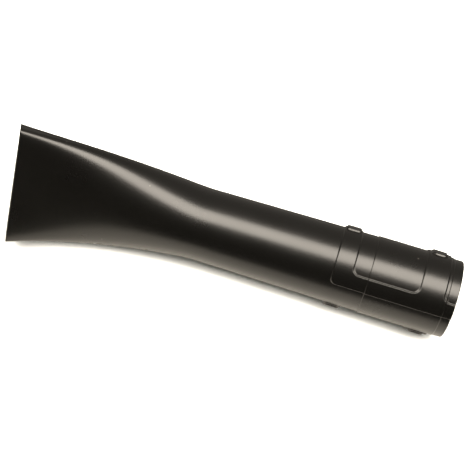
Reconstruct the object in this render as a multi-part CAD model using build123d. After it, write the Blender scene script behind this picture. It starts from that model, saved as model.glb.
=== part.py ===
from build123d import *
import math
import os

# Flat nozzle for a leaf blower: a round socket with two twist-lock tracks, a tapered
# tube, and a flared, flattened and bent mouth, blow-moulded as one hollow piece.
# X runs along the socket's axis and out of the socket, with 0 at the rim.
# The piece lies on a table as it comes to rest, and +Z is up.

# Driving dimensions in millimetres and degrees
wall = 2.3
socket_bore = 70.0
socket_length = 80.5
socket_step = 0.7
lip_length = 8.5
lip_relief = 0.5
rim_chamfer = 0.5
tube_length = 172.0
tube_taper = 1.8
fan_length = 168.0
mouth_width = 119.0
mouth_thickness = 22.0
mouth_corner = 6.6
mouth_offset = 33.7
mouth_edge = 0.7
rest_rise = 45.0

# Twist-lock tracks: a channel along the axis with two branches round the socket
track_count = 2
track_angle = 10.0
track_width = 15.4
track_raise = 1.25
track_corner = 6.0
foot_cover = 0.35
near_width = 23.6
deep_width = 18.2
branch_reach = 111.0
branch_setback = 11.4
branch_pitch = 81.8
lock_raise = 2.8
lock_sweep = 29.0
lock_inset = 1.6

# How the fan opens: powers of the share of its length, and the shares with a section
widen_ease = 0.03
flatten_power = 3.3
bend_power = 1.8
corner_power = 8.0
fan_shares = (0.0, 0.07, 0.17, 0.29, 0.42, 0.56, 0.7, 0.85, 1.0)
mouth_overshoot = 0.03
round_flat = 0.3

# Sizes that follow from the driving dimensions
socket_radius = socket_bore / 2 + wall
tube_radius = socket_radius - socket_step
track_depth = track_raise + wall / 2
track_slope = track_raise + foot_cover
near_branch = -(branch_setback + near_width / 2)
deep_branch = near_branch - branch_pitch
deep_end = deep_branch - deep_width / 2
lock_width = deep_width - 2 * lock_inset
fan_start = -(socket_length + tube_length)


def cone_radius(x):
    """Outer radius of the tapered tube at a place along the axis."""
    return tube_radius + tube_taper * (x + socket_length) / tube_length


def arc_degrees(length):
    """Angle that an arc of this length takes on the socket's outside."""
    return math.degrees(length / socket_radius)


def fan_section(share, inset):
    """Section across the duct, at a share of the fan's length, drawn in by the inset."""
    opened = max(share, 0)
    x = fan_start - fan_length * share
    widened = (1 + widen_ease) * opened**2 / (opened + widen_ease)
    flattened = 1 - max(1 - opened, 0) ** flatten_power * (1 + flatten_power * opened)
    squared = (1 - 2 * mouth_corner / mouth_thickness) * opened**corner_power
    round_radius = cone_radius(max(x, fan_start))
    half_width = round_radius + (mouth_width / 2 - round_radius) * widened
    half_height = round_radius + (mouth_thickness / 2 - round_radius) * flattened
    corner = (half_height - round_flat) * (1 - squared)
    slope = mouth_offset * bend_power * opened ** (bend_power - 1) / fan_length
    centre = (x, 0, mouth_offset * opened ** bend_power)
    across = Plane(centre, x_dir=(0, 1, 0), z_dir=(-1, 0, slope))
    return across * RectangleRounded(2 * (half_width - inset), 2 * (half_height - inset), corner - inset)


def duct(inset, past_mouth):
    """Tube and fan in one skin, with straight runs between the sections."""
    shares = (-tube_length / fan_length,) + fan_shares[:-1] + (fan_shares[-1] + past_mouth,)
    return loft([fan_section(share, inset) for share in shares], ruled=True)


def socket_outside():
    """Round outside of the socket, with its lip and the step down to the tube."""
    lip_radius = socket_radius - lip_relief
    outline = Polyline(
        (0, 0),
        (0, lip_radius - rim_chamfer),
        (-rim_chamfer, lip_radius),
        (-lip_length, lip_radius),
        (-lip_length - lip_relief, socket_radius),
        (-socket_length, socket_radius),
        (-socket_length - socket_step, tube_radius - socket_step / 2),
        (-socket_length - socket_step, 0),
        close=True,
    )
    return revolve(Plane.XZ * make_face(outline), Axis.X)


def ring_sector(top, left, right, start, end):
    """Part of a ring round X. Angles run from the flat face's normal to the upper edge."""
    middle = Pos((left + right) / 2, top - track_depth / 2)
    profile = Plane.XZ * middle * Rectangle(right - left, track_depth)
    return Rot(X=-end) * revolve(profile, Axis.X, end - start)


def off_axis(edge):
    """Distance of an edge's middle from the axis."""
    middle = edge @ 0.5
    return math.hypot(middle.Y, middle.Z)


def round_corners(body, rounded, corner):
    """Round a raised piece's upright corners between two places along X."""
    first, last = rounded
    edges = body.edges().filter_by(lambda edge: first < edge.center().X < last)
    return fillet(edges.filter_by(GeomType.LINE).filter_by(Axis.X, reverse=True), corner)


def slope_edges(body, top, rounded):
    """Slope the top edges of a raised piece between two places along X."""
    first, last = rounded
    edges = body.edges().filter_by(lambda edge: first < edge.center().X < last)
    return chamfer(edges.filter_by(lambda edge: off_axis(edge) > top - track_slope / 4), track_slope)


def track_stretch(surface, place, width, channel, rounded, inset):
    """One branch with its lock, and the stretch of the channel that leads to it."""
    top = surface + track_raise - inset
    half_channel = arc_degrees(track_width / 2 - inset)
    reach = track_angle + branch_reach - arc_degrees(inset)
    half_branch = width / 2 - inset
    arm = ring_sector(top, place - half_branch, place + half_branch, track_angle, reach)
    lead = ring_sector(top, *channel, track_angle - half_channel, track_angle + half_channel)
    low = arm + lead

    lock_top = surface + lock_raise - inset
    half_lock = lock_width / 2 - inset
    lock_end = reach - arc_degrees(lock_inset)
    lock_start = track_angle + branch_reach - lock_sweep + arc_degrees(inset)
    high = ring_sector(lock_top, place - half_lock, place + half_lock, lock_start, lock_end)
    if inset:
        return low + high
    low = slope_edges(round_corners(low, rounded, track_corner), top, rounded)
    high = slope_edges(round_corners(high, rounded, track_corner - lock_inset), lock_top, rounded)
    return low + high


def track(inset):
    """A whole track: its outside with no inset, its groove with the wall as the inset."""
    near_channel = (-socket_length - socket_step, inset)
    near_rounded = (-socket_length, -rim_chamfer)
    near = track_stretch(socket_radius, near_branch, near_width, near_channel, near_rounded, inset)
    deep_channel = (deep_end + inset, -socket_length + track_depth)
    deep_rounded = (deep_end - inset, -socket_length - socket_step)
    deep = track_stretch(cone_radius(deep_branch), deep_branch, deep_width, deep_channel, deep_rounded, inset)
    return near + deep


def all_tracks(inset):
    """Every track, spaced evenly round the socket."""
    one = track(inset)
    return [Rot(X=360 / track_count * number) * one for number in range(track_count)]


def socket_inside():
    """Bore of the socket, through the rim."""
    length = socket_length + wall
    return Pos(wall - length / 2, 0, 0) * Rot(Y=90) * Cylinder(socket_bore / 2, length)


outside = duct(0, 0) + socket_outside()
for piece in all_tracks(0):
    outside += piece

inside = duct(wall, mouth_overshoot) + socket_inside()
for piece in all_tracks(wall):
    inside += piece

hollow = outside - inside
mouth_face = hollow.faces().sort_by(Axis.X)[0]
nozzle = Rot(X=90 - rest_rise) * chamfer(mouth_face.edges(), mouth_edge)

os.makedirs("parts", exist_ok=True)
export_step(nozzle, "parts/nozzle.step")
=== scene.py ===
"""Studio picture of a black leaf blower nozzle lying on a white table."""
import math

import bpy
import numpy as np
from mathutils import Matrix, Vector


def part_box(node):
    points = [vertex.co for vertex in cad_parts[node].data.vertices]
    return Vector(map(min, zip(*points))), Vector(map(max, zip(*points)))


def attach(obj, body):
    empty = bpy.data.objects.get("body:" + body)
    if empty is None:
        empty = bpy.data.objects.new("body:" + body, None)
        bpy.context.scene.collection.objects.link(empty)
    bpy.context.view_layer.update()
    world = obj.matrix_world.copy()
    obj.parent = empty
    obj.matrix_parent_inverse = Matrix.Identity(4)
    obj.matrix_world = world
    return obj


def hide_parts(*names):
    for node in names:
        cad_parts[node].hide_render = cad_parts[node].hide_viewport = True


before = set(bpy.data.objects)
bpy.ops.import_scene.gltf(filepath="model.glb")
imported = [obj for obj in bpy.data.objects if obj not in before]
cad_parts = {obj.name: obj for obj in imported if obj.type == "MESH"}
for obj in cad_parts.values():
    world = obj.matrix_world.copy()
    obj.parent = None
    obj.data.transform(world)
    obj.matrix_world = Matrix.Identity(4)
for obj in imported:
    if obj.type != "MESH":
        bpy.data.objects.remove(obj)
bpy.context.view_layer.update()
floor_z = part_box("nozzle")[0].z

# Sizes of the part in millimetres and degrees
WALL = 2.3
BORE_RADIUS = 35.0
SOCKET_LENGTH = 80.5
SOCKET_STEP = 0.7
LIP_LENGTH = 8.5
LIP_RELIEF = 0.5
MOUTH_WIDTH = 119.0
MOUTH_THICKNESS = 22.0
MOUTH_CORNER = 6.6
MOUTH_OFFSET = 33.7
EDGE_ROUND = 0.7
REST_RISE = 45.0

# How the fan opens. It starts earlier than the solid's fan and its faces are domed, which was
# judged from the photo's tones. VIEW_ANGLE lies between the photo's view and the face's normal.
TUBE_LENGTH = 160.0
TUBE_TAPER = 1.7
FAN_LENGTH = 180.0
WIDEN_EASE = 0.12
FLATTEN_POWER = 3.0
BEND_POWER = 2.0
CORNER_POWER = 8.0
VIEW_ANGLE = 28.0
FACE_DOME = 6.2
MOUTH_POWER = 6.0
SQUARE_POWER = 6.0

# Twist-lock tracks. Each is measured from TURN_BACK behind its channel, where it has nothing.
TRACK_ANGLES = (10.0, 190.0)
TURN_BACK = 60.0
TRACK_WIDTH = 15.4
TRACK_RAISE = 1.25
TRACK_CORNER = 6.0
TRACK_SLOPE = 1.1
NEAR_PLACE = -23.2
NEAR_WIDTH = 23.6
DEEP_PLACE = -105.0
DEEP_WIDTH = 18.2
BRANCH_REACH = 111.0
LOCK_RAISE = 2.8
LOCK_SWEEP = 29.0
LOCK_INSET = 1.6
LOCK_CORNER = 3.5
LEAST_CORNER = 1.0
PAST_RIM = 40.0

# Each branch's place and width, and the sides in X on which a fillet joins it to the channel
BRANCHES = ((NEAR_PLACE, NEAR_WIDTH, (-1, 1)), (DEEP_PLACE, DEEP_WIDTH, (1,)))

# Camera: place in metres, and right, up and back directions in the row frame
CAMERA_PLACE = (-0.141275, -0.283731, 0.922023)
CAMERA_RIGHT = (0.954643, 0.297121, 0.019387)
CAMERA_UP = (-0.289024, 0.909041, 0.300183)
CAMERA_BACK = (0.071567, -0.292171, 0.953684)
CAMERA_LENS = 78.41

# Colours, and the stage in metres
LIGHT_COLOUR = (1.0, 0.915, 0.80)
PLASTIC_COLOUR = (0.0013, 0.0012, 0.0010)
DUST_COLOUR = (0.06, 0.057, 0.052)
TABLE_COLOUR = (0.88, 0.918, 0.935)
MIRRORED_COLOUR = (0.45, 0.443, 0.42)
STAGE_X = -0.2
TABLE_WIDTH = 6.0
TABLE_DROP = 0.0002

# Sizes that follow
SOCKET_RADIUS = BORE_RADIUS + WALL
TUBE_RADIUS = SOCKET_RADIUS - SOCKET_STEP
LIP_RADIUS = SOCKET_RADIUS - LIP_RELIEF
LOCK_WIDTH = DEEP_WIDTH - 2 * LOCK_INSET
FAN_START = -(SOCKET_LENGTH + TUBE_LENGTH)

# Columns of the mesh round the turn. More of them lie within EDGE_BAND of the tracks' edges,
# at LOCK_EDGE after a lock's start and END_EDGE before a branch's end, in degrees.
COLUMNS = 192
EDGE_COLUMNS = 8
EDGE_BAND = 2.1
LOCK_EDGE = 1.2
END_EDGE = 2.4

# Rings of the mesh. A stretch has a start, an end and a spacing, closer where the form changes.
# Those outside are places in X, and those inside are depths from the rim.
FAN_RINGS = 70
FAN_RING_POWER = 0.95
INNER_FAN_RINGS = 26
END_GAP = 0.3
OUTER_STRETCHES = (
    (FAN_START, -118.0, 4.5), (-118.0, -92.0, 0.5), (-92.0, -82.4, 1.6), (-82.4, -79.8, 0.3),
    (-79.8, -44.0, 2.5), (-44.0, -31.0, 0.6), (-31.0, -16.0, 2.0), (-16.0, -8.0, 0.4), (-8.0, -0.8, 1.2),
)
BORE_STRETCHES = (
    (2.0, 13.0, 2.5), (13.0, 16.5, 0.7), (16.5, 30.0, 4.0), (30.0, 34.0, 0.7), (34.0, 80.0, 6.0),
)
INNER_TUBE_STRETCHES = (
    (80.5, 82.0, 0.7), (83.0, 97.0, 4.0), (97.0, 100.0, 0.7), (100.0, 109.0, 3.0), (109.0, 114.0, 0.8),
    (116.0, -FAN_START, 16.0),
)

# Rings round the rim: place in X, radius, and share of the outside's relief
RIM_RINGS = (
    (-0.7, LIP_RADIUS, 1.0), (-0.35, LIP_RADIUS - 0.07, 1.0), (-0.1, LIP_RADIUS - 0.3, 0.9),
    (0.0, LIP_RADIUS - 0.65, 0.7), (0.0, BORE_RADIUS + 0.5, 0.2), (-0.12, BORE_RADIUS + 0.15, 0.0),
    (-0.5, BORE_RADIUS, 0.0),
)

# Rings round the mouth's edge: setback from the mouth, and inset from the outside
MOUTH_RINGS = (
    (EDGE_ROUND, WALL), (0.3, WALL - 0.12), (0.08, WALL - 0.4), (0.0, WALL - EDGE_ROUND),
    (0.0, EDGE_ROUND), (0.08, 0.4), (0.3, 0.1),
)


def smooth(value):
    """Eased step from 0 to 1."""
    t = np.clip(value, 0.0, 1.0)
    return t * t * (3.0 - 2.0 * t)


def signed_power(value, power):
    """Power of a value's size, with the value's sign."""
    return np.sign(value) * np.abs(value) ** power


def box_distance(x, t, x_range, t_range, corner):
    """Signed distance to a rectangle with rounded corners, negative inside."""
    dx = np.abs(x - sum(x_range) / 2) - (x_range[1] - x_range[0]) / 2 + corner
    dt = np.abs(t - sum(t_range) / 2) - (t_range[1] - t_range[0]) / 2 + corner
    outside = np.hypot(np.maximum(dx, 0.0), np.maximum(dt, 0.0))
    return outside + np.minimum(np.maximum(dx, dt), 0.0) - corner


def inner_corner(x, t, corner_x, corner_t, side, radius):
    """Signed distance to the fillet that fills an inner corner open towards side in X and up in T."""
    u = (x - corner_x) * side
    v = t - corner_t
    square = np.maximum(np.abs(u), np.abs(v)) - radius
    return np.maximum(square, radius - np.hypot(u - radius, v - radius))


def track_relief(x, degrees, inset):
    """Height of the twist-lock tracks above the round wall, or depth of their grooves inside."""
    height = np.zeros_like(x)
    corner = max(TRACK_CORNER - inset, LEAST_CORNER)
    lock_corner = max(LOCK_CORNER - inset, LEAST_CORNER)
    half = TRACK_WIDTH / 2 - inset
    half_lock = LOCK_WIDTH / 2 - inset
    end = math.radians(BRANCH_REACH) * SOCKET_RADIUS - inset
    start = math.radians(BRANCH_REACH - LOCK_SWEEP) * SOCKET_RADIUS + inset
    channel_end = DEEP_PLACE - DEEP_WIDTH / 2 + inset
    for angle in TRACK_ANGLES:
        turn = (degrees - angle + TURN_BACK) % 360.0 - TURN_BACK
        t = np.radians(turn) * SOCKET_RADIUS
        distance = box_distance(x, t, (channel_end, PAST_RIM), (-half, half), corner)
        locks = np.full_like(x, np.inf)
        for place, width, sides in BRANCHES:
            half_width = width / 2 - inset
            arm = box_distance(x, t, (place - half_width, place + half_width), (-half, end), corner)
            distance = np.minimum(distance, arm)
            for side in sides:
                fillet = inner_corner(x, t, place + side * half_width, half, side, TRACK_CORNER)
                distance = np.minimum(distance, fillet)
            lock_x = (place - half_lock, place + half_lock)
            lock = box_distance(x, t, lock_x, (start, end - LOCK_INSET), lock_corner)
            locks = np.minimum(locks, lock)
        low = TRACK_RAISE * smooth(-distance / TRACK_SLOPE)
        high = (LOCK_RAISE - TRACK_RAISE) * smooth(-locks / TRACK_SLOPE)
        height = np.maximum(height, low + high)
    return height


def tube_radius(x):
    """Outer radius of the tapered tube."""
    return TUBE_RADIUS + TUBE_TAPER * (x + SOCKET_LENGTH) / TUBE_LENGTH


def outer_radius(x):
    """Outer radius of the socket and the tapered tube, without the tracks."""
    tube = tube_radius(x)
    step = smooth((x + SOCKET_LENGTH + SOCKET_STEP) / SOCKET_STEP)
    lip = LIP_RELIEF * smooth((x + LIP_LENGTH + LIP_RELIEF) / LIP_RELIEF)
    return tube + (SOCKET_RADIUS - tube) * step - lip


def fan_ring(u, share, inset, setback=0.0):
    """Ring of points across the duct at a share of the fan's length."""
    opened = max(share, 0.0)
    x = FAN_START - FAN_LENGTH * share
    radius = tube_radius(max(x, FAN_START))
    widened = (1.0 + WIDEN_EASE) * opened**2 / (opened + WIDEN_EASE)
    flattened = 1.0 - max(1.0 - opened, 0.0) ** FLATTEN_POWER * (1.0 + FLATTEN_POWER * opened)
    squared = (1.0 - 2.0 * MOUTH_CORNER / MOUTH_THICKNESS) * opened**CORNER_POWER
    half_width = radius + (MOUTH_WIDTH / 2 - radius) * widened
    half_height = radius + (MOUTH_THICKNESS / 2 - radius) * flattened
    corner = half_height * (1.0 - squared)

    # Domed faces, made narrower so that the photo's view meets the outline of a plain rounded section
    cosine = math.cos(math.radians(VIEW_ANGLE))
    sine = math.sin(math.radians(VIEW_ANGLE))
    reach = (half_width - corner) * cosine + (half_height - corner) * sine + corner
    dome = (4.0 * opened * (1.0 - opened)) ** 2
    height = half_height + FACE_DOME * dome
    power = 2.0 + (MOUTH_POWER - 2.0) * opened**SQUARE_POWER
    dual = power / (power - 1.0)
    width = (reach**dual - (height * sine) ** dual) ** (1.0 / dual) / cosine
    turn = 2.0 * math.pi * u
    w = (width - inset) * signed_power(np.sin(turn), 2.0 / power)
    b = (height - inset) * signed_power(np.cos(turn), 2.0 / power)

    slope = MOUTH_OFFSET * BEND_POWER * opened ** (BEND_POWER - 1.0) / FAN_LENGTH
    length = math.hypot(1.0, slope)
    along = x + (slope * b + setback) / length
    up = MOUTH_OFFSET * opened**BEND_POWER + (b - setback * slope) / length
    return np.stack([along, w, up], 1)


def round_ring(u, x, radius, relief_share, inset):
    """Ring of points on the socket or tube, with the tracks' outside, their grooves or a blend."""
    degrees = u * 360.0
    place = np.full_like(u, x)
    outer = track_relief(place, degrees, 0.0)
    inner = track_relief(place, degrees, inset)
    r = radius + relief_share * outer + (1.0 - relief_share) * inner
    return np.stack([place, r * np.sin(np.radians(degrees)), r * np.cos(np.radians(degrees))], 1)


def around():
    """Shares of the turn at which columns run, closer at the edges of the tracks."""
    half_channel = math.degrees((TRACK_WIDTH / 2 - TRACK_SLOPE / 2) / SOCKET_RADIUS)
    lock_start = BRANCH_REACH - LOCK_SWEEP + LOCK_EDGE
    edges = (-half_channel, half_channel, lock_start, BRANCH_REACH - END_EDGE)
    band = np.linspace(-1.0, 1.0, EDGE_COLUMNS) * EDGE_BAND / 360.0
    shares = [np.arange(COLUMNS) / COLUMNS]
    shares += [(angle + edge) / 360.0 + band for angle in TRACK_ANGLES for edge in edges]
    return np.unique(np.round(np.concatenate(shares) % 1.0, 6))


def spread(stretches):
    """Places of the rings in all the stretches, with none close before a stretch's end."""
    places = [np.arange(start, end - END_GAP * spacing, spacing) for start, end, spacing in stretches]
    return np.concatenate(places)


def skin_rings():
    """Rings of the closed skin: outside from mouth to rim, round the rim, and back inside."""
    u = around()
    rings = []
    from_mouth = np.linspace(0.0, 1.0, FAN_RINGS)[:-1] ** FAN_RING_POWER
    for share in 1.0 - from_mouth - EDGE_ROUND / FAN_LENGTH:
        rings.append(fan_ring(u, share, 0.0))
    for x in spread(OUTER_STRETCHES):
        rings.append(round_ring(u, x, outer_radius(x), 1.0, 0.0))
    for x, radius, relief_share in RIM_RINGS:
        rings.append(round_ring(u, x, radius, relief_share, WALL))
    for x in -spread(BORE_STRETCHES):
        rings.append(round_ring(u, x, BORE_RADIUS, 0.0, WALL))
    for x in -spread(INNER_TUBE_STRETCHES):
        rings.append(round_ring(u, x, tube_radius(x) - WALL, 0.0, WALL))
    for share in np.linspace(0.0, 1.0, INNER_FAN_RINGS)[:-1]:
        rings.append(fan_ring(u, share, WALL))
    for setback, inset in MOUTH_RINGS:
        rings.append(fan_ring(u, 1.0, inset, setback))
    return np.array(rings)


def nozzle_mesh():
    """Skin of the nozzle as it lies on the table, in metres."""
    points = skin_rings()

    # X along the socket, w across the fan and n out of its visible face, turned to the row frame
    rise = math.radians(REST_RISE)
    x, w, n = points[..., 0], points[..., 1], points[..., 2]
    y = w * math.sin(rise) - n * math.cos(rise)
    z = w * math.cos(rise) + n * math.sin(rise)
    row = np.stack([x, y, z], -1)
    rows, columns = row.shape[:2]
    index = np.arange(rows * columns).reshape(rows, columns)
    after = np.roll(index, -1, 0)
    beside = np.roll(index, -1, 1)
    faces = np.stack([index, beside, np.roll(after, -1, 1), after], -1).reshape(-1, 4)
    mesh = bpy.data.meshes.new("nozzle_skin")
    mesh.from_pydata((row.reshape(-1, 3) * 0.001).tolist(), [], faces.tolist())
    mesh.polygons.foreach_set("use_smooth", [True] * len(mesh.polygons))
    mesh.update()
    return mesh


def new_material(name):
    """A material with its nodes, links and principled shader."""
    material = bpy.data.materials.new(name)
    material.use_nodes = True
    nodes = material.node_tree.nodes
    return material, nodes, material.node_tree.links, nodes["Principled BSDF"]


def noise(nodes, scale, detail):
    """Noise texture node."""
    node = nodes.new("ShaderNodeTexNoise")
    node.inputs["Scale"].default_value = scale
    node.inputs["Detail"].default_value = detail
    return node


def map_range(nodes, from_min, from_max, to_min, to_max):
    """Node that maps one range of values to another."""
    node = nodes.new("ShaderNodeMapRange")
    node.inputs["From Min"].default_value = from_min
    node.inputs["From Max"].default_value = from_max
    node.inputs["To Min"].default_value = to_min
    node.inputs["To Max"].default_value = to_max
    return node


def black_plastic():
    """Satin black moulded plastic with a fine grain, slightly uneven gloss and a few specks of dust."""
    material, nodes, links, shader = new_material("black_plastic")
    shader.inputs["IOR"].default_value = 1.5
    place = nodes.new("ShaderNodeTexCoord")

    grain = noise(nodes, scale=900.0, detail=3.0)
    links.new(place.outputs["Object"], grain.inputs["Vector"])
    bump = nodes.new("ShaderNodeBump")
    bump.inputs["Strength"].default_value = 0.12
    bump.inputs["Distance"].default_value = 0.0002
    links.new(grain.outputs["Fac"], bump.inputs["Height"])
    links.new(bump.outputs["Normal"], shader.inputs["Normal"])

    cloud = noise(nodes, scale=18.0, detail=4.0)
    links.new(place.outputs["Object"], cloud.inputs["Vector"])
    gloss = map_range(nodes, from_min=0.3, from_max=0.7, to_min=0.27, to_max=0.30)
    links.new(cloud.outputs["Fac"], gloss.inputs["Value"])
    links.new(gloss.outputs["Result"], shader.inputs["Roughness"])

    specks = nodes.new("ShaderNodeTexVoronoi")
    specks.inputs["Scale"].default_value = 45.0
    links.new(place.outputs["Object"], specks.inputs["Vector"])
    dust = map_range(nodes, from_min=0.02, from_max=0.035, to_min=1.0, to_max=0.0)
    links.new(specks.outputs["Distance"], dust.inputs["Value"])
    tint = nodes.new("ShaderNodeMix")
    tint.data_type = "RGBA"
    tint.inputs["A"].default_value = PLASTIC_COLOUR + (1.0,)
    tint.inputs["B"].default_value = DUST_COLOUR + (1.0,)
    links.new(dust.outputs["Result"], tint.inputs["Factor"])
    links.new(tint.outputs["Result"], shader.inputs["Base Color"])
    return material


def table_top(name, colour):
    """Plain matt table top."""
    material, _, _, shader = new_material(name)
    shader.inputs["Base Color"].default_value = colour + (1.0,)
    shader.inputs["Roughness"].default_value = 0.9
    return material


def lay_table(name, place, depth, colour, mirrored):
    """Flat table that is either seen itself or only mirrored in the plastic."""
    bpy.ops.mesh.primitive_plane_add(size=1.0, location=place)
    table = bpy.context.object
    table.name = name
    table.scale = (TABLE_WIDTH, depth, 1.0)
    table.data.materials.append(table_top(name + "_top", colour))
    table.visible_glossy = mirrored
    table.visible_camera = not mirrored
    table.visible_diffuse = not mirrored
    table.visible_shadow = not mirrored


def area_light(name, place, target, size_x, size_y, watts, glossy=True):
    """Warm soft box that faces its target. One that isn't glossy has no reflection in the plastic."""
    lamp = bpy.data.lights.new(name, "AREA")
    lamp.color = LIGHT_COLOUR
    lamp.shape = "RECTANGLE"
    lamp.size = size_x
    lamp.size_y = size_y
    lamp.energy = watts
    box = bpy.data.objects.new(name, lamp)
    bpy.context.scene.collection.objects.link(box)
    box.location = place
    box.rotation_euler = (Vector(target) - Vector(place)).to_track_quat("-Z", "Y").to_euler()
    box.visible_glossy = glossy


def dim_room():
    """World that is dark in front and brighter behind the part, towards +Y."""
    world = bpy.data.worlds.new("dim_room")
    world.use_nodes = True
    nodes = world.node_tree.nodes
    links = world.node_tree.links
    background = nodes["Background"]
    background.inputs["Color"].default_value = LIGHT_COLOUR + (1.0,)
    direction = nodes.new("ShaderNodeTexCoord")
    axes = nodes.new("ShaderNodeSeparateXYZ")
    backdrop = map_range(nodes, from_min=0.3, from_max=0.65, to_min=0.05, to_max=0.34)
    links.new(direction.outputs["Generated"], axes.inputs["Vector"])
    links.new(axes.outputs["Y"], backdrop.inputs["Value"])
    links.new(backdrop.outputs["Result"], background.inputs["Strength"])
    return world


def photo_camera():
    """Camera that was fitted to the photo's outline of the nozzle."""
    data = bpy.data.cameras.new("camera")
    data.lens = CAMERA_LENS
    data.sensor_width = 36.0
    data.clip_start = 0.01
    camera = bpy.data.objects.new("camera", data)
    bpy.context.scene.collection.objects.link(camera)
    axes = Matrix((CAMERA_RIGHT, CAMERA_UP, CAMERA_BACK)).transposed()
    camera.matrix_world = Matrix.Translation(CAMERA_PLACE) @ axes.to_4x4()
    return camera


skin = bpy.data.objects.new("nozzle_skin", nozzle_mesh())
bpy.context.scene.collection.objects.link(skin)
skin.data.materials.append(black_plastic())
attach(skin, "root")
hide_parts("nozzle")

# The plastic mirrors only the front of the table, and dimmer than the table itself looks.
# The table that is seen lies a little lower, so that it doesn't shade the mirrored one.
lay_table("table", (STAGE_X, 0.0, floor_z - TABLE_DROP), 6.0, TABLE_COLOUR, mirrored=False)
lay_table("table_in_gloss", (STAGE_X, -1.5, floor_z), 3.0, MIRRORED_COLOUR, mirrored=True)

area_light("overhead_box", (STAGE_X, 0.25, 1.2), (STAGE_X, 0.25, 0.0), 2.6, 0.75, 74.0)
area_light("top_fill", (STAGE_X, -0.15, 1.2), (STAGE_X, -0.15, 0.0), 2.4, 0.3, 26.0, glossy=False)
area_light("front_fill", (STAGE_X, -1.3, 0.7), (STAGE_X, -0.05, 0.0), 2.4, 1.2, 7.0, glossy=False)

bpy.context.scene.world = dim_room()
bpy.context.scene.camera = photo_camera()
bpy.context.scene.view_settings.view_transform = "Standard"
